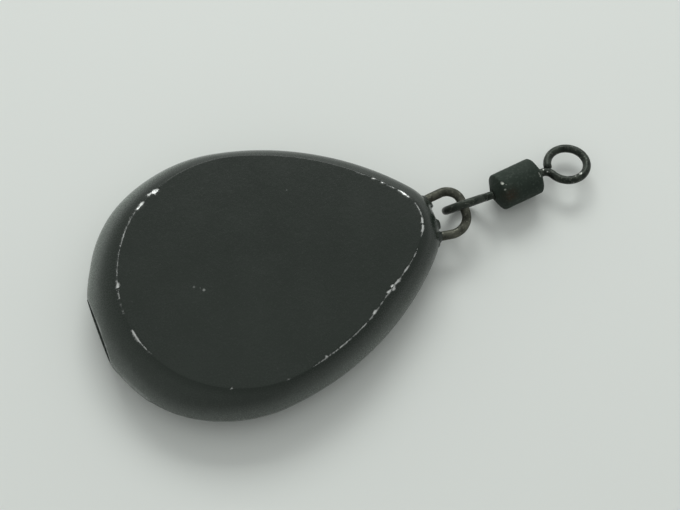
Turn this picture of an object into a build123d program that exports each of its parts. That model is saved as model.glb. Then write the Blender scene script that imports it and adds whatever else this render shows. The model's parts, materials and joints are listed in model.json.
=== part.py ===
from build123d import *
from math import acos, asin, atan2, cos, degrees, hypot, radians, sin, sqrt, tan
import os

# Flat pear lead: outline on the parting plane, from the butt to the narrow tip
butt_radius = 14.9
tip_radius = 6.1
tip_distance = 17.3
flank_radius = 30.7
thickness = 6.0

# How far the rim of each flat face stands in from that outline
butt_inset = 3.65
flank_inset = 1.85
tip_inset = 2.0

# Rounded side: heights of its sections and how far round an ellipse it turns before the rim
level_shares = (0, 0.3, 0.55, 0.75, 0.9, 1)
side_turn_share = 0.9

# Trimmed casting gate on the butt, and the coat over the whole casting
gate_trim = 0.6
coat_thickness = 0.2

# Wire staple cast into the tip
loop_wire = 1.0
loop_width = 6.0
loop_reach = 3.75
loop_side = 0.1
far_bar = 0.9
near_bar = 0.4
leg_length = 12.0
leg_lean = 8
anchor_length = 2.4
anchor_bend = 1.0

# Swivel eyes, each bent from one wire with an upset head inside the barrel
swivel_wire = 0.9
eye_outer = 5.25
neck_bend = 1.0
neck_length = 0.35
closing_gap = 0.15
head_clearance = 0.35
head_rim = 0.35
head_play = 0.25

# Swivel barrel, turned hollow and coned at both ends
barrel_radius = 2.05
barrel_length = 4.55
cone_length = 0.68
end_land = 0.2
barrel_wall = 0.55
end_wall = 0.6
stem_clearance = 0.06
shoulder_round = 0.12

# Rest pose of the swivel: one eye and the barrel's far shoulder just clear the table
swivel_heading = 2.3
swivel_lean = 21
barrel_turn = 6.5
table_gap = 0.1
link_along = 0.33
link_side = 0.54
line_eye_turn = 59

mid_height = thickness / 2
tip_end = tip_distance + tip_radius


def pear_outline(inset_share, skin):
    # Half of a pear: butt arc, convex flank and tip arc, each tangent to the next
    butt = butt_radius - flank_inset * inset_share - skin
    tip = tip_radius - flank_inset * inset_share - skin
    flank = flank_radius - flank_inset * inset_share - skin
    butt_centre = (butt_inset - flank_inset) * inset_share
    tip_centre = tip_distance - (tip_inset - flank_inset) * inset_share
    span = tip_centre - butt_centre
    flank_along = ((flank - butt) ** 2 - (flank - tip) ** 2 + span**2) / (2 * span)
    flank_across = sqrt((flank - butt) ** 2 - flank_along**2)
    butt_turn = degrees(atan2(flank_across, -flank_along))
    tip_turn = degrees(atan2(flank_across, span - flank_along))
    CenterArc((butt_centre, 0), butt, 180, butt_turn - 180)
    CenterArc((butt_centre + flank_along, -flank_across), flank, butt_turn, tip_turn - butt_turn)
    CenterArc((tip_centre, 0), tip, tip_turn, -tip_turn)
    mirror(about=Plane.XZ)


def pear_casting(skin):
    # Upper half lofted from the parting plane to the rim, mirrored, with the gate cut flat
    half_height = mid_height - skin
    with BuildPart() as casting:
        for level_share in level_shares:
            turn = 1 - sqrt(1 - (side_turn_share * level_share) ** 2)
            inset_share = turn / (1 - sqrt(1 - side_turn_share**2))
            with BuildSketch(Plane.XY.offset(mid_height + half_height * level_share)):
                with BuildLine():
                    pear_outline(inset_share, skin)
                make_face()
        loft()
        mirror(about=Plane.XY.offset(mid_height))
        gate_plane = Plane((gate_trim + skin - butt_radius, 0, 0), z_dir=(1, 0, 0))
        split(bisect_by=gate_plane, keep=Keep.TOP)
    return casting


# Staple: two leaning legs and a short bar across the end that the swivel hangs on
bar_place = tip_end + loop_reach - loop_wire / 2
loop_half = (loop_width - loop_wire) / 2
far_bend = loop_half - far_bar
near_bend = loop_half - near_bar
far_corner = far_bar + far_bend * tan(radians(90 + leg_lean) / 2)
near_corner = near_bar + near_bend * tan(radians(90 + leg_lean) / 2)
leg_foot = bar_place - leg_length * cos(radians(leg_lean))
leg_draw = leg_length * sin(radians(leg_lean))
far_foot = far_corner - leg_draw
near_foot = near_corner - leg_draw

with BuildPart() as wire_loop:
    with BuildLine(Plane((0, loop_side, mid_height))) as staple_path:
        FilletPolyline(
            (leg_foot, far_foot + anchor_length),
            (leg_foot, far_foot),
            (bar_place, far_corner),
            (bar_place, -near_corner),
            (leg_foot, -near_foot),
            (leg_foot, -near_foot - anchor_length),
            radius=[anchor_bend, far_bend, near_bend, anchor_bend],
        )
    with BuildSketch(Plane(staple_path.line @ 0, z_dir=staple_path.line % 0)):
        Circle(loop_wire / 2)
    sweep()

# Cast lead, filled round the staple's legs
casting = pear_casting(coat_thickness)
with BuildPart() as lead_core:
    add(casting.part)
    add(wire_loop.part, mode=Mode.SUBTRACT)

# Coat: a thin skin that fits the casting and lets the staple out at the tip
outside = pear_casting(0)
with BuildPart() as coat:
    add(outside.part)
    add(casting.part, mode=Mode.SUBTRACT)
    add(wire_loop.part, mode=Mode.SUBTRACT)

# Swivel: distances along its axis from the barrel's middle
eye_radius = (eye_outer - swivel_wire) / 2
bend_reach = sqrt(eye_radius**2 + 2 * neck_bend * eye_radius)
barrel_end = barrel_length / 2 + cone_length
eye_offset = barrel_end + neck_length + bend_reach

# It dips from the leaning eye, which stands on the table, to the barrel's far shoulder
eye_height = swivel_wire / 2 + eye_radius * cos(radians(swivel_lean))
shoulder_along = eye_offset + barrel_length / 2
shoulder_turn = asin(eye_height / hypot(shoulder_along, barrel_radius))
swivel_dip = degrees(shoulder_turn - atan2(barrel_radius, shoulder_along))

# Swivel frame: its axis points away from the lead, and its top faces up and to the side
swivel_axis = Vector(1, 0, 0).rotate(Axis.Y, swivel_dip).rotate(Axis.Z, swivel_heading)
swivel_top = Vector(0, 0, 1).rotate(Axis.X, swivel_lean)
swivel_top = swivel_top.rotate(Axis.Y, swivel_dip).rotate(Axis.Z, swivel_heading)
swivel_side = swivel_top.cross(swivel_axis)

link_point = Vector(bar_place, loop_side + link_side, mid_height)
lead_eye_centre = Vector(bar_place + link_along, loop_side + link_side, table_gap + eye_height)

# The loose barrel lies askew on its stems, turned at the middle of each end hole
hole_offset = barrel_end - end_wall / 2
stem_reach = eye_offset - hole_offset
barrel_axis = swivel_axis.rotate(Axis.Z, barrel_turn)
barrel_top = swivel_top.rotate(Axis.Z, barrel_turn)
barrel_centre = lead_eye_centre + swivel_axis * stem_reach + barrel_axis * hole_offset
line_hole = barrel_centre + barrel_axis * hole_offset
line_eye_centre = line_hole + swivel_axis * stem_reach

# Barrel: half of its wall in section, mirrored and turned round the axis
stem_hole = swivel_wire / 2 + stem_clearance
cone_end = stem_hole + end_land
cone_slope = cone_length / (barrel_radius - cone_end)
cavity_radius = barrel_radius - barrel_wall
cavity_end = barrel_end - end_wall
cavity_shoulder = cavity_end - (cavity_radius - stem_hole) * cone_slope
barrel_plane = Plane(barrel_centre, x_dir=barrel_axis, z_dir=barrel_top)

with BuildPart() as swivel_barrel:
    with BuildSketch(barrel_plane) as barrel_section:
        with BuildLine():
            Polyline(
                (0, cavity_radius),
                (cavity_shoulder, cavity_radius),
                (cavity_end, stem_hole),
                (barrel_end, stem_hole),
                (barrel_end, cone_end),
                (barrel_length / 2, barrel_radius),
                (0, barrel_radius),
                close=True,
            )
        make_face()
        fillet(barrel_section.vertices().group_by(Axis.Y)[-1].sort_by(Axis.X)[-1], shoulder_round)
        mirror(about=Plane.YZ)
    revolve(axis=Axis(barrel_centre, barrel_axis))


def swivel_eye(plane):
    # One wire: a stem on the axis, a bend to one side, then a loop back to the stem
    bend_end = degrees(atan2(neck_bend, bend_reach))
    reach = eye_radius + neck_bend
    closing = neck_bend + swivel_wire / 2 + closing_gap
    open_turn = degrees(acos((eye_radius**2 + reach**2 - closing**2) / (2 * eye_radius * reach)))
    head_radius = cavity_radius - head_clearance
    head_front = cavity_end + (stem_hole - swivel_wire / 2) * cone_slope - head_play - eye_offset
    head_edge = head_front - (head_radius - swivel_wire / 2) * cone_slope
    head_back = head_edge - head_rim
    with BuildPart() as eye:
        with BuildLine(plane):
            Line((head_back, 0), (-bend_reach, 0))
            CenterArc((-bend_reach, -neck_bend), neck_bend, 90, bend_end - 90)
            CenterArc((0, 0), eye_radius, 180 + bend_end, 360 - open_turn)
        with BuildSketch(Plane(plane.from_local_coords((head_back, 0)), z_dir=plane.x_dir)):
            Circle(swivel_wire / 2)
        sweep()
        with BuildSketch(plane):
            with BuildLine():
                Polyline(
                    (head_back, 0),
                    (head_back, head_radius),
                    (head_edge, head_radius),
                    (head_front, swivel_wire / 2),
                    (head_front, 0),
                    close=True,
                )
            make_face()
        revolve(axis=Axis(plane.origin, plane.x_dir))
    return eye


# The line-side eye has turned on the swivel's axis from the plane of the other eye
line_eye_top = swivel_side.rotate(Axis((0, 0, 0), swivel_axis), line_eye_turn)
lead_side_eye = swivel_eye(Plane(lead_eye_centre, x_dir=-swivel_axis, z_dir=swivel_side))
line_side_eye = swivel_eye(Plane(line_eye_centre, x_dir=swivel_axis, z_dir=line_eye_top))

lead_core.part.label = "lead_core"
coat.part.label = "coat"
wire_loop.part.label = "wire_loop"
lead_side_eye.part.label = "lead_side_eye"
swivel_barrel.part.label = "swivel_barrel"
line_side_eye.part.label = "line_side_eye"

os.makedirs("parts", exist_ok=True)
export_step(lead_core.part, "parts/lead_core.step")
export_step(coat.part, "parts/coat.step")
export_step(wire_loop.part, "parts/wire_loop.step")
export_step(lead_side_eye.part, "parts/lead_side_eye.step")
export_step(swivel_barrel.part, "parts/swivel_barrel.step")
export_step(line_side_eye.part, "parts/line_side_eye.step")
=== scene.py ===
import json
import math
from bisect import bisect_left

import bmesh
import bpy
from mathutils import Matrix, Vector, noise


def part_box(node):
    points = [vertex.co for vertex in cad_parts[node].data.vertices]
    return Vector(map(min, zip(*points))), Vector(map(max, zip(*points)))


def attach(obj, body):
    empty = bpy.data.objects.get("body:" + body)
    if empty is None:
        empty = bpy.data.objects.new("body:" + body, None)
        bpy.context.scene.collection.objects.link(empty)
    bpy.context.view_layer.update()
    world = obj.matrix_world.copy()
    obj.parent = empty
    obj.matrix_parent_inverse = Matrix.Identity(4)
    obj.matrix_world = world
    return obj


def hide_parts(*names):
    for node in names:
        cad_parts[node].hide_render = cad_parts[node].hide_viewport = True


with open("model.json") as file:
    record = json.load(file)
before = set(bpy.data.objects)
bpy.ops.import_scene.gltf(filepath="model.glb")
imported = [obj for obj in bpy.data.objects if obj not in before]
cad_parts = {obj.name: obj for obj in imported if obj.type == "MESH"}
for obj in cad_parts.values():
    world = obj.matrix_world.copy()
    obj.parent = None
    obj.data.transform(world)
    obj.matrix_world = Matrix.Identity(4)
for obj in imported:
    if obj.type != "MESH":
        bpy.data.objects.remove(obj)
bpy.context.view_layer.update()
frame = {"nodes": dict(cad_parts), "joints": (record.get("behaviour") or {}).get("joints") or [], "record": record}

# Pieces are modelled in millimetres and brought to metres when they are finished
mm = 0.001

# Distances below which vertices are merged, lie on a cut or count as being in a place
mergeGap = 1e-4
cutGap = 1e-5
placeGap = 1e-3

scene = bpy.context.scene
joints = {joint["name"]: joint for joint in frame["joints"]}
mounts = {mount["name"]: mount for mount in frame["record"]["mounts"]}
print("frame loaded:", sorted(frame["nodes"]))


def millimetres(place):
    return Vector(place) / mm


def vertsIn(geom):
    return [part for part in geom if isinstance(part, bmesh.types.BMVert)]


def edgesIn(geom):
    return [part for part in geom if isinstance(part, bmesh.types.BMEdge)]


def ramp(value, low, high):  # 0 below low, 1 above high, smooth between them
    share = min(max((value - low) / (high - low), 0.0), 1.0)
    return share * share * (3 - 2 * share)


def grainAt(place, size, shift=0.0):  # smooth noise from 0 to 1, with lumps of about that size
    return 0.5 + 0.5 * noise.noise(place / size + Vector((shift, shift, shift)))


def growRing(bm, ring):  # a second ring of edges, joined to the first by faces, and its vertices
    grown = bmesh.ops.extrude_edge_only(bm, edges=ring)["geom"]
    return [edge for edge in edgesIn(grown) if edge.is_boundary], vertsIn(grown)


def roundEdges(bm, edges, offset, rows):
    bmesh.ops.bevel(bm, geom=edges, offset=offset, offset_type="OFFSET", affect="EDGES",
                    segments=rows, profile=0.5, material=-1)


def bell(value):  # 1 at 0, fading smoothly on both sides
    return math.exp(-(value**2))


def turnFrom(start, bearing):  # degrees from one bearing to another, from -180 to 180
    return (bearing - start + 180) % 360 - 180


def finishPiece(name, bm, material, body, nodes=(), sharpAngle=38):
    bmesh.ops.recalc_face_normals(bm, faces=bm.faces[:])
    bmesh.ops.scale(bm, vec=(mm, mm, mm), verts=bm.verts[:])
    mesh = bpy.data.meshes.new(name)
    bm.to_mesh(mesh)
    bm.free()
    mesh.shade_smooth()
    mesh.set_sharp_from_angle(angle=math.radians(sharpAngle))
    mesh.materials.append(material)
    piece = bpy.data.objects.new(name, mesh)
    scene.collection.objects.link(piece)
    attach(piece, body)
    if nodes:
        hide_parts(*nodes)
    print("piece made:", name, len(mesh.polygons), "faces")


# Camera at the photograph's angle, as fitted to the outline of the lead
photo = {
    "width": 680,
    "focalPixels": 1400,
    "azimuth": -19.14,
    "elevation": 67.16,
    "target": (12.74, 0.86, -1.0),
    "distance": 153.3,
    "sensor": 36.0,
    "clip": (5, 20000),
}


def setCamera():
    turn, rise = math.radians(photo["azimuth"]), math.radians(photo["elevation"])
    back = Vector((math.sin(turn) * math.cos(rise), -math.cos(turn) * math.cos(rise), math.sin(rise)))
    data = bpy.data.cameras.new("photoCamera")
    data.sensor_width = photo["sensor"]
    data.lens = photo["sensor"] * photo["focalPixels"] / photo["width"]
    data.clip_start, data.clip_end = (end * mm for end in photo["clip"])
    camera = bpy.data.objects.new("photoCamera", data)
    camera.location = (Vector(photo["target"]) + back * photo["distance"]) * mm
    camera.rotation_euler = (-back).to_track_quat("-Z", "Y").to_euler()
    scene.collection.objects.link(camera)
    scene.camera = camera


setCamera()
scene.view_settings.view_transform = "Standard"
print("camera set")


class Paint:
    # One socket of a material: operators on it add Math nodes, and node() adds any other kind
    def __init__(self, tree, socket=None):
        self.tree = tree
        self.socket = socket

    def node(self, kind, settings=None, inputs=None, take=0):
        made = self.tree.nodes.new("ShaderNode" + kind)
        for name, value in (settings or {}).items():
            setattr(made, name, value)
        for name, value in (inputs or {}).items():
            if isinstance(value, Paint):
                self.tree.links.new(value.socket, made.inputs[name])
            else:
                made.inputs[name].default_value = value
        return Paint(self.tree, made.outputs[take])

    def maths(self, operation, first, second):
        return self.node("Math", {"operation": operation}, {0: first, 1: second})

    def __add__(self, other):
        return self.maths("ADD", self, other)

    def __radd__(self, other):
        return self.maths("ADD", other, self)

    def __sub__(self, other):
        return self.maths("SUBTRACT", self, other)

    def __rsub__(self, other):
        return self.maths("SUBTRACT", other, self)

    def __mul__(self, other):
        return self.maths("MULTIPLY", self, other)

    def __rmul__(self, other):
        return self.maths("MULTIPLY", other, self)

    def __pow__(self, other):
        return self.maths("POWER", self, other)


class Finish(Paint):
    # A material with one Principled shader, and the patterns that the finishes share
    def __init__(self, name):
        self.material = bpy.data.materials.new(name)
        self.material.use_nodes = True
        super().__init__(self.material.node_tree)
        self.shader = self.tree.nodes["Principled BSDF"]
        objectPlace = self.node("TexCoord", take="Object")
        self.place = self.node("VectorMath", {"operation": "SCALE"}, {0: objectPlace, "Scale": 1 / mm})

    def cloud(self, lumpSize, detail=3.0, roughness=0.55, distortion=0.0):
        settings = {"Vector": self.place, "Scale": 1 / lumpSize, "Detail": detail}
        settings.update({"Roughness": roughness, "Distortion": distortion})
        return self.node("TexNoise", None, settings)

    def attribute(self, name):
        return self.node("Attribute", {"attribute_name": name}, None, "Fac")

    def between(self, value, low, high):
        limits = {"Value": value, "From Min": low, "From Max": high}
        return self.node("MapRange", {"interpolation_type": "SMOOTHSTEP"}, limits)

    def blend(self, factor, first, second):
        return self.node("Mix", {"data_type": "RGBA"}, {0: factor, 6: first, 7: second}, 2)

    def bump(self, height, depth, strength=1.0):
        settings = {"Height": height, "Distance": depth * mm, "Strength": strength}
        return self.node("Bump", None, settings, "Normal")

    def apply(self, **sockets):
        names = {"colour": "Base Color", "roughness": "Roughness", "metallic": "Metallic"}
        names.update({"normal": "Normal", "specular": "Specular IOR Level", "edgeTint": "Specular Tint"})
        for name, value in sockets.items():
            target = self.shader.inputs[names[name]]
            if isinstance(value, Paint):
                self.tree.links.new(value.socket, target)
            else:
                target.default_value = value
        return self.material

    def cover(self, mask, colour, roughness):
        # A second shader, without reflections, in place of the first one where the mask is 1
        settings = {"Base Color": colour, "Roughness": roughness, "Specular IOR Level": 0.0}
        dull = self.node("BsdfPrincipled", None, settings)
        first = Paint(self.tree, self.shader.outputs[0])
        mixed = self.node("MixShader", None, {0: mask, 1: first, 2: dull})
        self.tree.links.new(mixed.socket, self.tree.nodes["Material Output"].inputs["Surface"])
        return self.material


def tone(red, green, blue):
    return (red, green, blue, 1.0)


# Specks of bare lead on the upper face: place, size and strength
faceSpecks = (
    ((-3.62, -0.37, 6.0), 0.15, 0.5),
    ((-2.74, -1.03, 6.0), 0.19, 0.9),
    ((-3.05, -0.70, 6.0), 0.07, 0.5),
    ((8.90, 7.00, 6.0), 0.09, 0.4),
)


def coatSpecks(finish, mottle, ragged):
    # Scattered specks in the lighter mottling, and the ones that have a place of their own
    cell = finish.node("TexVoronoi", None, {"Vector": finish.place, "Scale": 1 / 2.6}, "Distance")
    specks = finish.between(cell, 0.06, 0.03) * finish.between(mottle, 0.60, 0.65)
    for middle, size, strength in faceSpecks:
        away = finish.node("VectorMath", {"operation": "DISTANCE"}, {0: finish.place, 1: middle}, "Value")
        specks = specks + finish.between(away + (ragged - 0.5) * 0.2, size, size * 0.5) * strength
    return specks


def matteCoat():
    finish = Finish("matteCoat")
    mottle = finish.cloud(4.5, 4.0)
    grain = finish.cloud(0.16, 3.0)
    peel = finish.cloud(0.7, 2.0)
    ragged = finish.cloud(0.11, 3.0, 0.6)
    flakes = finish.cloud(0.34, 2.0)
    wearAndGlints = finish.attribute("wearAndGlints")

    # Dark mottled coat, with dust and a painted sheen on the side, polished beside the rubs, with specks and
    # scuffs
    dark = finish.blend(mottle, tone(0.0052, 0.0102, 0.0064), tone(0.0085, 0.0142, 0.0098))
    fine = finish.blend(finish.between(grain, 0.56, 0.78) * 0.5, dark, tone(0.019, 0.025, 0.021))
    # The side's lighter tone is partly dust and partly a painted sheen, growing towards the seam
    dustAndSheen = finish.attribute("dustAndSheen") * (0.7 + peel * 0.6)
    dustyAndSheened = finish.blend(dustAndSheen, fine, tone(0.160, 0.178, 0.163))
    rubbed = finish.between(wearAndGlints + (mottle - 0.5) * 0.2, 0.05, 0.5)
    polished = finish.blend(rubbed * 0.3, dustyAndSheened, tone(0.016, 0.020, 0.018))
    specked = finish.blend(coatSpecks(finish, mottle, ragged) * 0.75, polished, tone(0.26, 0.27, 0.26))
    # Scuffs on the lower seam and at the gate's edge: wear, and a painted highlight where these edges catch the
    # light
    scraped = finish.between(finish.attribute("scuff") + (flakes - 0.5) * 0.5, 0.2, 1.0)
    scuffedAndHighlighted = finish.blend(scraped, specked, tone(0.28, 0.29, 0.283))

    # Bare lead where the coat is rubbed through, dull at the edge of each rub and fresh inside it
    bareAndGlint = finish.between(wearAndGlints + (ragged - 0.5) + (flakes - 0.5) * 1.1, 0.46, 0.60)
    fresh = finish.blend(finish.cloud(0.3), tone(0.42, 0.43, 0.42), tone(0.66, 0.67, 0.66))
    lead = finish.blend(finish.between(wearAndGlints, 0.5, 0.85), tone(0.19, 0.195, 0.19), fresh)
    colour = finish.blend(bareAndGlint, scuffedAndHighlighted, lead)
    roughness = 0.27 + (grain - 0.5) * 0.16 + (mottle - 0.5) * 0.1 + bareAndGlint * 0.06
    relief = finish.bump(grain * 0.35 + peel * 0.65 - bareAndGlint * 1.2, 0.03, 0.6)
    finish.apply(colour=colour, roughness=roughness, metallic=bareAndGlint * 0.9, normal=relief, specular=0.38)

    # The cut face of the gate is torn and dull, so it stays dark at a glancing angle too
    tears = finish.between(flakes, 0.38, 0.66)
    torn = finish.blend(tears, tone(0.016, 0.021, 0.018), tone(0.058, 0.064, 0.060))
    return finish.cover(finish.attribute("gate"), torn, 0.9)


def bareLead():
    finish = Finish("bareLead")
    bloom = finish.cloud(2.2, 4.0)
    scratch = finish.cloud(0.2, 3.0, 0.6, 0.6)
    colour = finish.blend(bloom, tone(0.30, 0.31, 0.31), tone(0.48, 0.49, 0.49))
    roughness = 0.45 + (scratch - 0.5) * 0.3
    relief = finish.bump(scratch, 0.03)
    return finish.apply(colour=colour, roughness=roughness, metallic=0.85, normal=relief)


def tarnishedWire():
    finish = Finish("tarnishedWire")
    oxide = finish.cloud(0.9, 4.0, 0.6)
    scuff = finish.cloud(0.26, 4.0, 0.62, 0.4)
    pits = finish.cloud(0.12, 2.0)
    worn = finish.between(scuff, 0.53, 0.68)
    patches = finish.between(oxide, 0.3, 0.7)
    olive = finish.blend(patches, tone(0.042, 0.044, 0.036), tone(0.100, 0.102, 0.083))
    colour = finish.blend(worn * 0.7, olive, tone(0.19, 0.19, 0.158))
    roughness = 0.46 - worn * 0.14 + (pits - 0.5) * 0.2
    relief = finish.bump(pits * 0.5 + oxide * 0.5, 0.03, 0.7)
    return finish.apply(colour=colour, roughness=roughness, metallic=0.3, normal=relief, specular=0.15,
                        edgeTint=tone(0.22, 0.22, 0.20))


def blackenedWire():
    finish = Finish("blackenedWire")
    patina = finish.cloud(0.9, 4.0)
    streak = finish.cloud(0.24, 4.0, 0.62, 0.3)
    ragged = finish.cloud(0.14, 3.0, 0.6)
    wearAndGlints = finish.attribute("wearAndGlints")
    worn = finish.between(streak, 0.56, 0.70)
    # On the eyes this attribute holds only painted glints: bright patches of a bare-metal tone where the wire
    # catches the light
    bareAndGlint = finish.between(wearAndGlints + (ragged - 0.5) * 0.8, 0.42, 0.58)
    patches = finish.between(patina, 0.3, 0.7)
    dark = finish.blend(patches, tone(0.015, 0.019, 0.016), tone(0.036, 0.042, 0.035))
    scraped = finish.blend(worn * 0.7, dark, tone(0.20, 0.205, 0.18))
    colour = finish.blend(bareAndGlint * 0.85, scraped, tone(0.52, 0.53, 0.50))
    roughness = 0.30 + (patina - 0.5) * 0.2 - bareAndGlint * 0.04
    relief = finish.bump(streak, 0.02, 0.6)
    return finish.apply(colour=colour, roughness=roughness, metallic=0.2, normal=relief, specular=0.45,
                        edgeTint=tone(0.18, 0.20, 0.18))


def blackenedBarrel():
    finish = Finish("blackenedBarrel")
    patina = finish.cloud(1.1, 4.0)
    speckle = finish.cloud(0.30, 3.0, 0.6)
    grain = finish.cloud(0.13, 3.0)
    ragged = finish.cloud(0.16, 4.0, 0.65)
    wearAndGlints = finish.attribute("wearAndGlints")
    rust = finish.attribute("rust")
    # Bare metal where the blackening is chipped, and at the painted highlight on the right shoulder
    bareAndGlint = finish.between(wearAndGlints + (ragged - 0.5) * 0.7, 0.42, 0.58)
    stained = rust * finish.between(ragged, 0.3, 0.6)
    dark = finish.blend(patina, tone(0.019, 0.027, 0.022), tone(0.034, 0.044, 0.036))
    mottled = finish.blend(finish.between(speckle, 0.5, 0.72) * 0.5, dark, tone(0.066, 0.079, 0.068))
    brown = finish.blend(stained * 0.85, mottled, tone(0.042, 0.026, 0.017))
    colour = finish.blend(bareAndGlint * 0.85, brown, tone(0.30, 0.31, 0.28))
    roughness = 0.52 + (grain - 0.5) * 0.25 - bareAndGlint * 0.08
    relief = finish.bump(grain * 0.5 + speckle * 0.5 - bareAndGlint * 0.8, 0.03, 0.8)
    return finish.apply(colour=colour, roughness=roughness, metallic=bareAndGlint * 0.8, normal=relief,
                        specular=0.05)


coatFinish = matteCoat()
leadFinish = bareLead()
loopFinish = tarnishedWire()
eyeFinish = blackenedWire()
barrelFinish = blackenedBarrel()
frame["nodes"]["lead_core"].data.materials.clear()
frame["nodes"]["lead_core"].data.materials.append(leadFinish)
print("finishes made")


# Coat over the pear
pearCoat = {
    # Outline and rounded side, beside the sizes that the coat's box gives
    "tipRadius": 6.1,
    "flankRadius": 30.7,
    "buttInset": 3.65,
    "flankInset": 1.85,
    "tipInset": 2.0,
    "sideTurnShare": 0.9,
    "rimRound": 0.03,
    # How finely it is divided: steps round each arc, shares of the height from the seam up to the rim, and
    # shares of the way from the middle of a face out to its rim
    "arcSteps": (150, 150, 36),
    "levels": (0, 0.014, 0.032, 0.056, 0.09, 0.14, 0.2, 0.27, 0.35, 0.43, 0.51, 0.59, 0.66, 0.72, 0.78,
               0.83, 0.87, 0.9, 0.925, 0.948, 0.966, 1),
    "faceRings": (0.988, 0.976, 0.962, 0.945, 0.92, 0.88, 0.81, 0.71, 0.59, 0.46, 0.33, 0.2, 0.08),
    "faceMiddle": 4.0,
    "rimRows": 3,
    # Size and depth of the casting's lumps, how far a stray reaches in over a face, and the share of the
    # height that strays in full with the seam
    "unevenness": (6.0, 0.03),
    "strayInward": 3.0,
    "seamShare": 0.2,
    # Trimmed gate: how far the cut lies beyond the end of the CAD coat, its turn, its lean and its worn edge,
    # which also paints a highlight
    "gateOut": 0.10,
    "gateTurn": 3.4,
    "gateLean": 7.0,
    "gateWornAndHighlightDepth": 0.09,
    # Seam of the mould: its ridge, how its flash and scuffs fade at their ends, and the scuffed band over it,
    # whose lighter colour is partly a painted highlight
    "seamHeight": 0.03,
    "seamWidth": 0.10,
    "seamWaveSize": 2.4,
    "flashWaveSize": 0.7,
    "flashFade": 0.7,
    "wornAndHighlightFade": 4.0,
    "scuffAndHighlightRise": (-0.2, 0.1),
    "scuffAndHighlightFall": (1.0, 0.3),
    "scuffAndHighlightSize": 1.3,
    # Rubs at the rims: their reach across and down from the rim, their ragged ends and the chips they leave.
    # The lower rim has the rubs of the upper one, turned round
    "rubReach": 1.2,
    "rubDrop": 0.8,
    "rubRaggedSize": 0.3,
    "rubRaggedness": 0.4,
    "rubWaveSize": 0.45,
    "rubFade": (-0.12, 0.16),
    "lowerRubTurn": 137,
    "chipDepth": 0.05,
    "chipWear": (0.35, 0.9),
}

# Cast flash along the seam: from and to, in degrees round the middle of the face, height, width, scuffing (wear
# and a painted highlight)
seamFlash = (
    (3.2, 6.6, 0.46, 0.50, 0.0),
    (-4.4, -0.4, 0.30, 0.30, 0.0),
    (-10.4, -7.4, 0.14, 0.30, 0.0),
    (-168.0, -145.0, 0.12, 0.16, 0.6),
)

# Places where the casting strays from its outline: degrees round, spread, and the shifts at the upper rim
# and at the seam
strays = (
    (139.0, 13.0, 0.14, 0.14),
    (161.0, 7.0, 0.0, -0.11),
    (200.0, 9.0, 0.0, -0.15),
    (222.0, 13.0, 0.0, 0.11),
    (95.0, 30.0, 0.0, 0.12),
    (325.0, 9.0, -0.24, 0.0),
    (344.0, 6.0, 0.18, 0.0),
    (0.0, 8.0, 0.0, -0.14),
)

# Handling dust and a painted sheen on the rounded side, lighter towards the seam: degrees round, spread, amount,
# and the shares of the way from the rim to the seam at which it starts and is full
sideDustAndSheen = (
    (0.0, 1e4, 0.12, 0.35, 0.95),
    (124.0, 32.0, 0.66, 0.04, 0.42),
    (172.0, 36.0, 0.55, 0.10, 0.60),
    (235.0, 72.0, 0.13, -0.05, 0.16),
    (262.0, 80.0, 0.16, 0.15, 0.80),
    (312.0, 34.0, 0.17, 0.06, 0.50),
)

# Rubs through the coat: from and to in degrees round, place in from or out over the rim, width and strength
rimRubs = (
    (124.6, 127.6, -0.10, 0.30, 1.20),
    (127.0, 129.6, 0.12, 0.26, 1.10),
    (132.2, 134.8, 0.02, 0.24, 1.05),
    (134.2, 137.2, -0.04, 0.16, 0.95),
    (137.0, 171.0, 0.00, 0.085, 0.66),
    (147.0, 151.0, 0.02, 0.10, 0.78),
    (170.0, 172.2, -0.04, 0.22, 1.10),
    (172.0, 177.0, 0.00, 0.11, 0.68),
    (177.0, 183.5, 0.00, 0.09, 0.50),
    (190.4, 193.6, 0.00, 0.10, 1.00),
    (193.0, 197.0, 0.02, 0.10, 0.90),
    (196.5, 203.0, 0.00, 0.08, 0.70),
    (238.6, 239.8, 0.00, 0.18, 0.90),
    (262.0, 265.0, 0.00, 0.09, 0.58),
    (275.0, 286.0, 0.00, 0.09, 0.66),
    (282.4, 284.0, -0.06, 0.28, 1.00),
    (286.0, 347.0, 0.00, 0.095, 0.72),
    (290.5, 293.0, 0.02, 0.15, 0.95),
    (294.5, 296.5, 0.00, 0.13, 0.85),
    (305.0, 309.0, 0.00, 0.12, 0.85),
    (313.6, 316.6, -0.04, 0.20, 1.05),
    (325.4, 328.0, -0.06, 0.22, 1.10),
    (327.4, 329.6, 0.22, 0.18, 1.05),
    (328.6, 330.8, -0.20, 0.18, 1.05),
    (330.4, 333.4, 0.02, 0.22, 1.10),
    (336.4, 339.0, 0.02, 0.17, 1.00),
    (342.0, 344.5, 0.00, 0.12, 0.85),
    (350.0, 364.5, 0.00, 0.10, 0.70),
    (352.4, 355.4, 0.02, 0.18, 1.05),
    (355.0, 358.0, -0.02, 0.15, 0.98),
    (366.8, 369.4, -0.02, 0.17, 1.02),
    (369.0, 371.6, 0.04, 0.14, 0.95),
    (372.0, 376.0, 0.00, 0.09, 0.62),
    (376.4, 377.8, 0.00, 0.15, 1.00),
    (379.9, 381.3, 0.00, 0.14, 0.95),
    (384.5, 388.5, 0.00, 0.09, 0.60),
)

# Amounts that each place on the coat carries to its finish
coatLayers = ("wearAndGlints", "scuff", "dustAndSheen")


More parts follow.
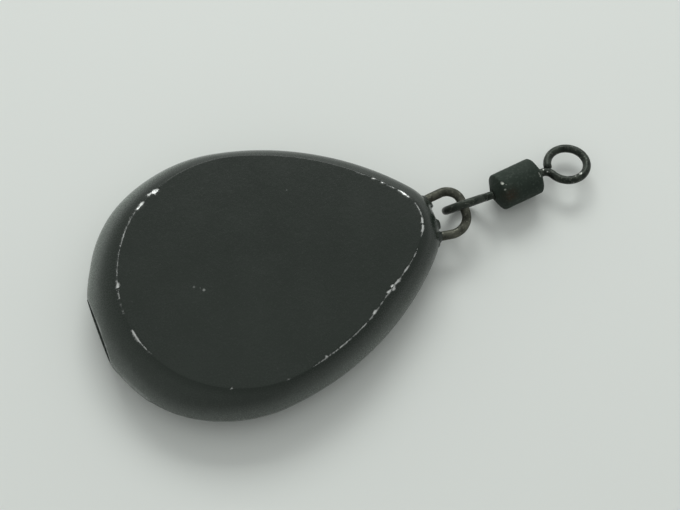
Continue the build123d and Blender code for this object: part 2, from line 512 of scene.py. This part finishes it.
def pearChain(bm, insetShare, height, buttRadius, tipDistance):
    # Half of one outline: a vertex at the butt drawn round the centres of the three tangent arcs
    inset = pearCoat["flankInset"] * insetShare
    butt = buttRadius - inset
    tip = pearCoat["tipRadius"] - inset
    flank = pearCoat["flankRadius"] - inset
    buttCentre = (pearCoat["buttInset"] - pearCoat["flankInset"]) * insetShare
    tipCentre = tipDistance - (pearCoat["tipInset"] - pearCoat["flankInset"]) * insetShare
    span = tipCentre - buttCentre
    along = ((flank - butt) ** 2 - (flank - tip) ** 2 + span**2) / (2 * span)
    across = math.sqrt((flank - butt) ** 2 - along**2)
    buttTurn = math.atan2(across, -along)
    tipTurn = math.atan2(across, span - along)
    arcs = (
        (Vector((buttCentre, 0, height)), math.pi - buttTurn),
        (Vector((buttCentre + along, -across, height)), buttTurn - tipTurn),
        (Vector((tipCentre, 0, height)), tipTurn),
    )
    last = [bm.verts.new((buttCentre - butt, 0, height))]
    chain = []
    for (centre, turn), steps in zip(arcs, pearCoat["arcSteps"]):
        step = Matrix.Rotation(-turn / steps, 3, "Z")
        for _ in range(steps):
            drawn = bmesh.ops.extrude_vert_indiv(bm, verts=last)
            last = drawn["verts"]
            chain += drawn["edges"]
            bmesh.ops.rotate(bm, cent=centre, matrix=step, verts=last)
    last[0].co.y = 0.0
    return chain


def insetAt(levelShare):
    full = 1 - math.sqrt(1 - pearCoat["sideTurnShare"] ** 2)
    return (1 - math.sqrt(1 - (pearCoat["sideTurnShare"] * levelShare) ** 2)) / full


def bearingOf(place):
    return math.degrees(math.atan2(place.y, place.x - pearCoat["faceMiddle"])) % 360


def reachOf(place):
    return math.hypot(place.y, place.x - pearCoat["faceMiddle"])


def rubAt(bearing, reach, overRim, place):
    # How far the coat is rubbed at a place, the given distance out over the rim or in from it
    ragged = (grainAt(place, pearCoat["rubRaggedSize"], shift=5.0) - 0.5) * pearCoat["rubRaggedness"]
    uneven = 0.5 + grainAt(place, pearCoat["rubWaveSize"])
    rubAndGlint = 0.0
    for start, end, shift, width, strength in rimRubs:
        length = end - start
        turn = turnFrom(start, bearing)
        if -1 < turn < length + 1:
            toEnd = math.radians(min(turn, length - turn)) * reach + ragged
            across = (overRim - shift) / (width * uneven)
            rubAndGlint = max(rubAndGlint, strength * ramp(toEnd, *pearCoat["rubFade"]) * bell(across))
    return rubAndGlint


def flashAt(bearing, place):
    # How far the seam's ridge or its flash stands out at a place on the side, and how scuffed it is there, as wear
    # and a painted highlight
    height = pearCoat["seamHeight"] * (0.3 + 1.4 * grainAt(place, pearCoat["seamWaveSize"]))
    height *= bell(place.z / pearCoat["seamWidth"])
    scuff = 0.0
    for start, end, tall, width, worn in seamFlash:
        turn = (bearing - start) % 360
        if turn <= end - start:
            lastFade = pearCoat["wornAndHighlightFade"] if worn else pearCoat["flashFade"]
            ends = ramp(turn, 0.0, pearCoat["flashFade"]) * ramp(end - start - turn, 0.0, lastFade)
            share = ends * bell(place.z / width)
            height = max(height, tall * share * (0.75 + 0.5 * grainAt(place, pearCoat["flashWaveSize"])))
            band = ramp(place.z, *pearCoat["scuffAndHighlightRise"]) * ramp(place.z, *pearCoat["scuffAndHighlightFall"])
            scuff = max(scuff, worn * ends * band * (0.3 + 1.2 * grainAt(place, pearCoat["scuffAndHighlightSize"])))
    return height, scuff


def strayAt(bearing, levelShare, over):
    # Sideways shift of a place: the seam's fades towards both rims, and the rim's towards the seam
    rimPart = ramp(levelShare, 0.0, 1.0)
    seamPart = 1 - ramp(abs(levelShare), pearCoat["seamShare"], 1.0)
    shift = 0.0
    for middle, spread, atRim, atSeam in strays:
        shift += bell(turnFrom(middle, bearing) / spread) * (atRim * rimPart + atSeam * seamPart)
    return shift * ramp(over, -pearCoat["strayInward"], 0.0)


# Dust and painted sheen on the side, growing from the rim towards the seam
def dustAndSheenAt(bearing, levelShare):
    dustAndSheen = 0.0
    for middle, spread, amount, start, full in sideDustAndSheen:
        dustAndSheen += amount * bell(turnFrom(middle, bearing) / spread) * ramp(1 - abs(levelShare), start, full)
    return dustAndSheen


def drawSide(bm, halfHeight, buttRadius, tipDistance):
    # A quarter of the rounded side, level by level from the seam to the rim, then its mirror images
    chains = []
    for share in pearCoat["levels"]:
        chains.append(pearChain(bm, insetAt(share), halfHeight * share, buttRadius, tipDistance))
    for lower, upper in zip(chains, chains[1:]):
        bmesh.ops.bridge_loops(bm, edges=lower + upper)
    for axis in ("Y", "Z"):
        everything = bm.verts[:] + bm.edges[:] + bm.faces[:]
        bmesh.ops.mirror(bm, geom=everything, matrix=Matrix(), merge_dist=mergeGap, axis=axis)
    bmesh.ops.remove_doubles(bm, verts=bm.verts[:], dist=mergeGap)


def drawFaces(bm):
    # Each flat face: rings drawn in from the rim towards the middle, close together at the rim.
    # What comes back is the bearing and the reach of each place on the upper rim
    toMiddle = Matrix.Translation((-pearCoat["faceMiddle"], 0, 0))
    rims = {1: [], -1: []}
    for edge in [edge for edge in bm.edges if edge.is_boundary]:
        rims[1 if edge.verts[0].co.z > 0 else -1].append(edge)
    rimEdges = rims[1] + rims[-1]
    rimPlaces = sorted((bearingOf(edge.verts[0].co), reachOf(edge.verts[0].co)) for edge in rims[1])
    for ring in rims.values():
        drawn = 1.0
        for share in pearCoat["faceRings"]:
            ring, verts = growRing(bm, ring)
            scale = share / drawn
            bmesh.ops.scale(bm, vec=(scale, scale, 1), verts=verts, space=toMiddle)
            drawn = share
        bmesh.ops.contextual_create(bm, geom=ring)
    bmesh.ops.recalc_face_normals(bm, faces=bm.faces[:])
    roundEdges(bm, rimEdges, pearCoat["rimRound"], pearCoat["rimRows"])
    return rimPlaces


def wearCoat(bm, halfHeight, rimPlaces):
    # Strays of the casting, seam flash, chips through the coat at both rims and a slight unevenness
    wearAndGlintLayer, scuffAndHighlightLayer, dustAndSheenLayer = (bm.verts.layers.float[name] for name in coatLayers)
    bearings = [bearing for bearing, reach in rimPlaces]
    lumpSize, depth = pearCoat["unevenness"]
    bm.normal_update()
    for vert in bm.verts:
        place = vert.co.copy()
        bearing, reach = bearingOf(place), reachOf(place)
        levelShare = place.z / halfHeight
        over = reach - rimPlaces[bisect_left(bearings, bearing) % len(rimPlaces)][1]
        drop = halfHeight - abs(place.z)
        offset = (grainAt(place, lumpSize) - 0.5) * depth
        if abs(over) < pearCoat["rubReach"] and drop < pearCoat["rubDrop"]:
            overRim = math.copysign(math.hypot(over, drop), over)
            rubbed = bearing if place.z > 0 else (bearing + pearCoat["lowerRubTurn"]) % 360
            vert[wearAndGlintLayer] = rubAt(rubbed, reach, overRim, place)
            offset -= pearCoat["chipDepth"] * ramp(vert[wearAndGlintLayer], *pearCoat["chipWear"])
        flash, vert[scuffAndHighlightLayer] = flashAt(bearing, place)
        vert[dustAndSheenLayer] = dustAndSheenAt(bearing, levelShare)
        outward = Vector((place.x - pearCoat["faceMiddle"], place.y, 0)) / reach
        vert.co = place + vert.normal * (offset + flash) + outward * strayAt(bearing, levelShare, over)


def trimGate(bm, buttEnd):
    # The gate is cut off flat at the butt: the coat is split at the cut, and what stands out is pressed in
    scuffAndHighlightLayer, gateLayer = bm.verts.layers.float["scuff"], bm.faces.layers.float["gate"]
    gate = Vector((buttEnd - pearCoat["gateOut"], 0, 0))
    leaning = Matrix.Rotation(math.radians(pearCoat["gateLean"]), 3, "Y")
    across = Matrix.Rotation(math.radians(pearCoat["gateTurn"]), 3, "Z") @ leaning @ Vector((-1, 0, 0))
    everything = bm.verts[:] + bm.edges[:] + bm.faces[:]
    split = bmesh.ops.bisect_plane(bm, geom=everything, dist=cutGap, plane_co=gate, plane_no=across)
    cutBearings = [bearingOf(vert.co) for vert in vertsIn(split["geom_cut"])]
    cutStart, cutEnd = min(cutBearings), max(cutBearings)
    for vert in bm.verts:
        beyond = (vert.co - gate).dot(across)
        if beyond > cutGap:
            vert.co = vert.co - across * beyond
            vert[scuffAndHighlightLayer] = 0.0
        # The worn band along the cut's edge is lighter: wear and a painted highlight
        elif beyond > -pearCoat["gateWornAndHighlightDepth"] and cutStart < bearingOf(vert.co) < cutEnd:
            vert[scuffAndHighlightLayer] = ramp(beyond, -pearCoat["gateWornAndHighlightDepth"], 0.0)
    for face in bm.faces:
        face[gateLayer] = float(all((vert.co - gate).dot(across) > -mergeGap for vert in face.verts))


def makeCoat():
    low, high = (millimetres(corner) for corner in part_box("coat"))
    halfHeight = high.z / 2
    bm = bmesh.new()
    for name in coatLayers:
        bm.verts.layers.float.new(name)
    bm.faces.layers.float.new("gate")
    drawSide(bm, halfHeight, high.y, high.x - pearCoat["tipRadius"])
    rimPlaces = drawFaces(bm)
    wearCoat(bm, halfHeight, rimPlaces)
    trimGate(bm, low.x)
    bmesh.ops.translate(bm, vec=(0, 0, halfHeight), verts=bm.verts[:])
    finishPiece("pearCoat", bm, coatFinish, "lead", ["coat"])


makeCoat()


def bendWire(bm, ring, place, heading, turnAxis, moves, stepLength, stepDegrees):
    # Draws a ring of edges along a wire: each move is a straight run, then a bend of a radius and a turn
    for run, radius, turn in moves:
        steps = max(1, round(run / stepLength)) if run else 0
        for _ in range(steps):
            ring, verts = growRing(bm, ring)
            bmesh.ops.translate(bm, vec=heading * run / steps, verts=verts)
        place = place + heading * run
        if turn:
            axis = turnAxis * math.copysign(1, turn)
            centre = place + axis.cross(heading) * radius
            angle = math.radians(abs(turn))
            count = math.ceil(abs(turn) / stepDegrees)
            spun = bmesh.ops.spin(bm, geom=ring, cent=centre, axis=axis, angle=angle, steps=count)
            ring = edgesIn(spun["geom_last"])
            rotation = Matrix.Rotation(angle, 3, axis)
            place = centre + rotation @ (place - centre)
            heading = rotation @ heading
    return ring


def startRing(bm, radius, segments, place, heading, capped=True):
    turned = Matrix.Translation(place) @ heading.to_track_quat("Z", "Y").to_matrix().to_4x4()
    made = bmesh.ops.create_circle(bm, cap_ends=capped, radius=radius, segments=segments, matrix=turned)
    return list(dict.fromkeys(edge for vert in made["verts"] for edge in vert.link_edges))


def roughen(bm, lumpSize, depth):
    bm.normal_update()
    for vert in bm.verts:
        vert.co = vert.co + vert.normal * ((grainAt(vert.co, lumpSize) - 0.5) * depth)


# Wire staple cast into the tip: the swivel's link point lies on the middle line of its end bar
staple = {
    "wire": 1.0,
    "width": 6.0,
    "sideShift": 0.1,
    "farBar": 0.9,
    "nearBar": 0.4,
    "legLength": 12.0,
    "legLean": 8,
    "footLength": 2.4,
    "footBend": 1.0,
    "sides": 28,
    "stepLength": 0.3,
    "stepDegrees": 6,
    "endRound": 0.08,
    "endRows": 3,
    "unevenness": (0.6, 0.02),
}
linkPoint = millimetres(joints["eye_swing"]["pos_m"])


def stapleSizes():
    lean = math.radians(staple["legLean"])
    half = (staple["width"] - staple["wire"]) / 2
    corner = math.tan((math.pi / 2 + lean) / 2)
    sizes = {"leg": [], "footPlace": [], "bend": []}
    for bar in (staple["farBar"], staple["nearBar"]):
        bend = half - bar
        barCorner = bar + bend * corner
        sizes["bend"].append(bend)
        sizes["footPlace"].append(barCorner - staple["legLength"] * math.sin(lean))
        sizes["leg"].append(staple["legLength"] - bend * corner - staple["footBend"] * corner)
    sizes["foot"] = staple["footLength"] - staple["footBend"] * corner
    sizes["footX"] = linkPoint.x - staple["legLength"] * math.cos(lean)
    return sizes


def makeStaple():
    sizes = stapleSizes()
    turn = 90 + staple["legLean"]
    footEnd = staple["sideShift"] + sizes["footPlace"][0] + staple["footLength"]
    farFoot = Vector((sizes["footX"], footEnd, linkPoint.z))
    heading = Vector((0, -1, 0))
    moves = (
        (sizes["foot"], staple["footBend"], turn),
        (sizes["leg"][0], sizes["bend"][0], -turn),
        (staple["farBar"] + staple["nearBar"], sizes["bend"][1], -turn),
        (sizes["leg"][1], staple["footBend"], turn),
        (sizes["foot"], 0, 0),
    )
    bm = bmesh.new()
    first = startRing(bm, staple["wire"] / 2, staple["sides"], farFoot, heading)
    last = bendWire(bm, first, farFoot, heading, Vector((0, 0, 1)), moves,
                    staple["stepLength"], staple["stepDegrees"])
    bmesh.ops.contextual_create(bm, geom=last)
    roundEdges(bm, first + last, staple["endRound"], staple["endRows"])
    roughen(bm, *staple["unevenness"])
    finishPiece("stapleWire", bm, loopFinish, "lead", ["wire_loop"])


makeStaple()


# Coat drawn up the wire where each leg leaves the tip: rings of it, each with its place up the leg and its
# radius, and how far each collar sags to one side
legCollars = {
    "rings": ((0.24, 0.501), (0.18, 0.515), (0.10, 0.56), (0.02, 0.62), (-0.10, 0.70), (-0.34, 0.84)),
    "sag": (0.10, 0.04),
    "sides": 32,
    "unevenness": (0.5, 0.10),
}


def makeCollars():
    _, high = (millimetres(corner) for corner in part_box("coat"))
    sizes = stapleSizes()
    lean = math.radians(staple["legLean"])
    tipCentre = Vector((high.x - pearCoat["tipRadius"], 0, linkPoint.z))
    narrow, wide = legCollars["rings"][0][1], legCollars["rings"][-1][1]
    bm = bmesh.new()
    for side, footPlace, sag in zip((1, -1), sizes["footPlace"], legCollars["sag"]):
        heading = Vector((math.cos(lean), side * math.sin(lean), 0))
        foot = Vector((sizes["footX"], staple["sideShift"] + side * footPlace, linkPoint.z))
        toFoot = foot - tipCentre
        nearness = toFoot.dot(heading)
        reach = -nearness + math.sqrt(nearness**2 - toFoot.length_squared + pearCoat["tipRadius"] ** 2)
        exitPlace = foot + heading * reach
        ring = None
        for up, radius in legCollars["rings"]:
            loose = (radius - narrow) / (wide - narrow)
            middle = exitPlace + heading * up - Vector((0, sag * math.sqrt(loose), 0))
            wider = startRing(bm, radius, legCollars["sides"], middle, heading, capped=False)
            if ring:
                bmesh.ops.bridge_loops(bm, edges=ring + wider)
            ring = wider
    roughen(bm, *legCollars["unevenness"])
    finishPiece("legCollars", bm, coatFinish, "lead")


makeCollars()


# Swivel eyes: each is one wire, with an upset head that turns inside the barrel
swivel = {
    "wire": 0.9,
    "lean": 21,
    "eyeOuter": 5.25,
    "neckBend": 1.0,
    "closingGap": -0.04,
    "tailTurn": 14,
    "tailLength": 0.55,
    "tailShare": 0.55,
    "headClearance": 0.35,
    "headRim": 0.35,
    "headPlay": 0.25,
    "sides": 28,
    "stepLength": 0.25,
    "stepDegrees": 6,
    "endRound": 0.10,
    "endRows": 3,
    "unevenness": (0.5, 0.02),
    "glintHeightShare": 0.9,
}

# Swivel barrel: turned hollow and coned at both ends
barrel = {
    "radius": 2.05,
    "length": 4.55,
    "coneLength": 0.68,
    "endLand": 0.2,
    "wall": 0.55,
    "endWall": 0.6,
    "stemClearance": 0.06,
    "shoulderRound": 0.14,
    "landRound": 0.05,
    "turnSteps": 88,
    "roundRows": 4,
    "unevenness": (0.8, 0.025),
    "chipRagged": 0.3,
    "chipDepth": 0.06,
    "chipWear": (0.3, 0.9),
    "rustPlace": (-1.75, -25.0),
    "rustSize": 0.7,
}

# Chips in the blackening, and a painted shoulder highlight: place along the barrel, degrees round it from its top,
# size and strength
barrelChipsAndHighlights = (
    (-2.12, 22.0, 0.24, 1.05),
    (-2.20, 0.0, 0.17, 0.85),
    (-1.85, 12.0, 0.10, 0.70),
    (-2.27, -30.0, 0.10, 0.60),
    # These three paint the highlight on the right shoulder in a bare-metal tone
    (2.12, -2.0, 0.12, 0.90),
    (2.14, -9.0, 0.12, 0.90),
    (2.12, 5.0, 0.10, 0.75),
    (1.20, -34.0, 0.08, 0.60),
    (2.24, 140.0, 0.16, 0.85),
    (-2.24, 205.0, 0.18, 0.90),
    (-0.60, 170.0, 0.10, 0.65),
)

# Painted glints: bright patches painted on the upper side of each eye's wire, where it catches the light: degrees
# round the eye from its far end, distance from its centre, size and strength
paintedEyeGlints = {
    "lead_side_eye": (
        (72.0, 2.0, 0.16, 0.80),
        (84.0, 2.0, 0.12, 0.75),
        (118.0, 2.0, 0.14, 0.75),
        (140.0, 2.0, 0.10, 0.70),
    ),
    "line_side_eye": (
        (-73.0, 2.0, 0.17, 1.00),
        (-65.0, 2.0, 0.13, 0.90),
        (-90.0, 2.0, 0.14, 0.80),
        (38.0, 2.0, 0.10, 0.70),
        (122.0, 2.0, 0.12, 0.75),
        (178.0, 2.9, 0.16, 0.80),
        (186.0, 2.6, 0.12, 0.75),
    ),
}

barrelCentre = millimetres(joints["barrel_spin"]["pos_m"])
barrelAxis = Vector(joints["barrel_spin"]["axis"]).normalized()
swivelAxis = Vector(joints["line_eye_spin"]["axis"]).normalized()
lineHole = millimetres(joints["line_eye_spin"]["pos_m"])
leadHole = 2 * barrelCentre - lineHole
lineEyeCentre = millimetres(mounts["line_eye"]["pos_m"])
lineEyeTop = Vector(mounts["line_eye"]["axis"]).normalized()
stemReach = (lineEyeCentre - lineHole).length
stemHole = swivel["wire"] / 2 + barrel["stemClearance"]
barrelEnd = barrel["length"] / 2 + barrel["coneLength"]
coneSlope = barrel["coneLength"] / (barrel["radius"] - stemHole - barrel["endLand"])
cavityRadius = barrel["radius"] - barrel["wall"]
cavityEnd = barrelEnd - barrel["endWall"]
holeOffset = barrelEnd - barrel["endWall"] / 2


def leaningTop(axis):  # upwards across an axis, leaning to one side as the swivel does
    levelTop = axis.cross(Vector((0, 0, 1)).cross(axis)).normalized()
    return Matrix.Rotation(math.radians(swivel["lean"]), 3, axis) @ levelTop


def paintEyeGlints(bm, glints, centre, outward, sideways):
    # Each painted glint lies on top of the wire, and outward and sideways span the plane of the eye
    wearAndGlintLayer = bm.verts.layers.float["wearAndGlints"]
    lift = Vector((0, 0, swivel["wire"] / 2 * swivel["glintHeightShare"]))
    for degrees, distance, size, strength in glints:
        turn = math.radians(degrees)
        rubAndGlint = centre + (outward * math.cos(turn) + sideways * math.sin(turn)) * distance + lift
        for vert in bm.verts:
            near = (vert.co - rubAndGlint).length / size
            vert[wearAndGlintLayer] = max(vert[wearAndGlintLayer], strength * bell(near))


def makeEye(name, node, hole, outward, sideways):
    # Head, stem and neck, then the loop and its tail: outward points from the barrel's hole to the eye, and
    # the wire bends away from sideways first
    turnAxis = outward.cross(sideways)
    wireRadius = swivel["wire"] / 2
    eyeRadius = (swivel["eyeOuter"] - swivel["wire"]) / 2
    bendReach = math.sqrt(eyeRadius**2 + 2 * swivel["neckBend"] * eyeRadius)
    bendEnd = math.degrees(math.atan2(swivel["neckBend"], bendReach))
    reach = eyeRadius + swivel["neckBend"]
    closing = swivel["neckBend"] + wireRadius + swivel["closingGap"]
    openTurn = math.degrees(math.acos((eyeRadius**2 + reach**2 - closing**2) / (2 * eyeRadius * reach)))
    headRadius = cavityRadius - swivel["headClearance"]
    headFront = cavityEnd + barrel["stemClearance"] * coneSlope - swivel["headPlay"]
    headCone = (headRadius - wireRadius) * coneSlope
    headBack = headFront - headCone - swivel["headRim"]
    bm = bmesh.new()
    bm.verts.layers.float.new("wearAndGlints")
    place = hole + outward * (headBack - holeOffset)
    ring = startRing(bm, headRadius, swivel["sides"], place, outward)
    for length, radius in ((swivel["headRim"], headRadius), (headCone, wireRadius)):
        ring, verts = growRing(bm, ring)
        bmesh.ops.translate(bm, vec=outward * length, verts=verts)
        place = place + outward * length
        share = radius / headRadius
        bmesh.ops.scale(bm, vec=(share, share, share), verts=verts, space=Matrix.Translation(-place))
    moves = (
        (holeOffset + stemReach - bendReach - headFront, swivel["neckBend"], bendEnd - 90),
        (0, eyeRadius, 360 - openTurn - swivel["tailTurn"]),
        (swivel["tailLength"], 0, 0),
    )
    last = bendWire(bm, ring, place, outward, turnAxis, moves, swivel["stepLength"], swivel["stepDegrees"])
    tail = list(dict.fromkeys(vert for edge in last for vert in edge.verts))
    tailEnd = sum((vert.co for vert in tail), Vector()) / len(tail)
    bmesh.ops.scale(bm, vec=(swivel["tailShare"],) * 3, verts=tail, space=Matrix.Translation(-tailEnd))
    bmesh.ops.contextual_create(bm, geom=last)
    roundEdges(bm, last, swivel["endRound"], swivel["endRows"])
    roughen(bm, *swivel["unevenness"])
    paintEyeGlints(bm, paintedEyeGlints[node], hole + outward * stemReach, outward, sideways)
    finishPiece(name, bm, eyeFinish, node, [node])


makeEye("leadSideEye", "lead_side_eye", leadHole, -swivelAxis, leaningTop(swivelAxis))
makeEye("lineSideEye", "line_side_eye", lineHole, swivelAxis, lineEyeTop.cross(swivelAxis))


def roundRings(bm, along, away, offset):
    # Rounds the ring of edges at a distance along the barrel and away from its axis, at both ends
    rings = []
    for edge in bm.edges:
        apart = [abs(abs(vert.co.x) - along) + abs(vert.co.yz.length - away) for vert in edge.verts]
        if max(apart) < placeGap:
            rings.append(edge)
    roundEdges(bm, rings, offset, barrel["roundRows"])


def drawBarrel(bm):
    # Half of the wall in section, mirrored and spun, in the barrel's own frame with X along its axis.
    # Each corner of the section has the number of cuts on the way to the next one
    coneEnd = stemHole + barrel["endLand"]
    halfLength = barrel["length"] / 2
    cavityShoulder = cavityEnd - (cavityRadius - stemHole) * coneSlope
    section = (
        ((0, cavityRadius), 3),
        ((cavityShoulder, cavityRadius), 2),
        ((cavityEnd, stemHole), 1),
        ((barrelEnd, stemHole), 0),
        ((barrelEnd, coneEnd), 5),
        ((halfLength, barrel["radius"]), 14),
        ((0, barrel["radius"]), 0),
    )
    last = [bm.verts.new((*section[0][0], 0))]
    for (start, cuts), (end, _) in zip(section, section[1:]):
        step = (Vector(end) - Vector(start)) / (cuts + 1)
        for _ in range(cuts + 1):
            last = bmesh.ops.extrude_vert_indiv(bm, verts=last)["verts"]
            bmesh.ops.translate(bm, vec=(*step, 0), verts=last)
    bmesh.ops.mirror(bm, geom=bm.verts[:] + bm.edges[:], matrix=Matrix(), merge_dist=mergeGap, axis="X")
    bmesh.ops.spin(bm, geom=bm.verts[:] + bm.edges[:], cent=(0, 0, 0), axis=(1, 0, 0), angle=math.tau,
                   steps=barrel["turnSteps"], use_merge=True)
    bmesh.ops.remove_doubles(bm, verts=bm.verts[:], dist=mergeGap)
    bmesh.ops.recalc_face_normals(bm, faces=bm.faces[:])
    roundRings(bm, halfLength, barrel["radius"], barrel["shoulderRound"])
    roundRings(bm, barrelEnd, coneEnd, barrel["landRound"])


def apartOn(place, along, degrees):
    # How far a place on the barrel is from a point that is given along the barrel and round it from its top
    turn = math.degrees(math.atan2(place.y, place.z))
    around = math.radians(turnFrom(degrees, turn)) * math.hypot(place.y, place.z)
    return math.hypot(place.x - along, around)


def chipBarrel(bm):
    # Chips, a painted shoulder highlight, a rust stain and a slight unevenness, on the outside only
    wearAndGlintLayer, rustLayer = bm.verts.layers.float["wearAndGlints"], bm.verts.layers.float["rust"]
    lumpSize, depth = barrel["unevenness"]
    bm.normal_update()
    for vert in bm.verts:
        place = vert.co.copy()
        away = math.hypot(place.y, place.z)
        if away < cavityRadius + placeGap and abs(place.x) < cavityEnd + placeGap:
            continue
        ragged = 0.7 + 0.6 * grainAt(place, barrel["chipRagged"])
        wearAndGlints = 0.0
        for along, degrees, size, strength in barrelChipsAndHighlights:
            wearAndGlints = max(wearAndGlints, strength * bell(apartOn(place, along, degrees) / (size * ragged)))
        vert[wearAndGlintLayer] = wearAndGlints
        vert[rustLayer] = bell(apartOn(place, *barrel["rustPlace"]) / barrel["rustSize"])
        offset = (grainAt(place, lumpSize) - 0.5) * depth
        offset -= barrel["chipDepth"] * ramp(wearAndGlints, *barrel["chipWear"])
        vert.co = place + vert.normal * offset


def makeBarrel():
    bm = bmesh.new()
    bm.verts.layers.float.new("wearAndGlints")
    bm.verts.layers.float.new("rust")
    drawBarrel(bm)
    chipBarrel(bm)
    barrelTop = leaningTop(barrelAxis)
    turned = Matrix((barrelAxis, barrelTop.cross(barrelAxis), barrelTop)).transposed().to_4x4()
    bmesh.ops.transform(bm, matrix=Matrix.Translation(barrelCentre) @ turned, verts=bm.verts[:])
    finishPiece("swivelBarrel", bm, barrelFinish, "swivel_barrel", ["swivel_barrel"])


makeBarrel()


# Plain pale table under the lead, a dim and almost even room, and one soft lamp on the far side
studio = {
    "tableSize": 3000,
    "tableDrop": 0.02,
    "tableTone": tone(0.750, 0.770, 0.750),
    "tableRoughness": 0.6,
    "roomTone": tone(0.97, 1.0, 0.975),
    "roomWalls": 0.6,
    "wallFade": 6.0,
    "roomCeiling": 0.565,
    "brightSide": (0.14, 0.40, 0.0),
    "lampPlace": (169, 511, 440),
    "lampTarget": (8, 0, 0),
    "lampSize": (480, 240),
    "lampTone": (0.97, 1.0, 0.975),
    "lampPower": 2.2,
}


def makeTable():
    bm = bmesh.new()
    bmesh.ops.create_grid(bm, x_segments=1, y_segments=1, size=studio["tableSize"] * mm / 2)
    bmesh.ops.translate(bm, vec=(0, 0, -studio["tableDrop"] * mm), verts=bm.verts[:])
    mesh = bpy.data.meshes.new("table")
    bm.to_mesh(mesh)
    bm.free()
    finish = Finish("paleTable")
    mesh.materials.append(finish.apply(colour=studio["tableTone"], roughness=studio["tableRoughness"]))
    table = bpy.data.objects.new("table", mesh)
    scene.collection.objects.link(table)


def makeLight():
    world = bpy.data.worlds.new("room")
    world.use_nodes = True
    room = Paint(world.node_tree)
    direction = room.node("TexCoord", take="Generated")
    rise = room.node("SeparateXYZ", None, {0: direction}, "Z")
    sides = {0: direction, 1: studio["brightSide"]}
    towards = room.node("VectorMath", {"operation": "DOT_PRODUCT"}, sides, "Value")
    walls = (1.0 - rise) ** studio["wallFade"] * studio["roomWalls"]
    strength = (walls + studio["roomCeiling"]) * (towards + 1.0)
    background = world.node_tree.nodes["Background"]
    background.inputs["Color"].default_value = studio["roomTone"]
    world.node_tree.links.new(strength.socket, background.inputs["Strength"])
    scene.world = world
    data = bpy.data.lights.new("softLight", "AREA")
    data.shape = "RECTANGLE"
    data.size, data.size_y = (side * mm for side in studio["lampSize"])
    data.color = studio["lampTone"]
    data.energy = studio["lampPower"]
    lamp = bpy.data.objects.new("softLight", data)
    lamp.location = Vector(studio["lampPlace"]) * mm
    aim = Vector(studio["lampTarget"]) - Vector(studio["lampPlace"])
    lamp.rotation_euler = aim.to_track_quat("-Z", "Y").to_euler()
    scene.collection.objects.link(lamp)


makeTable()
makeLight()
print("table and light set")
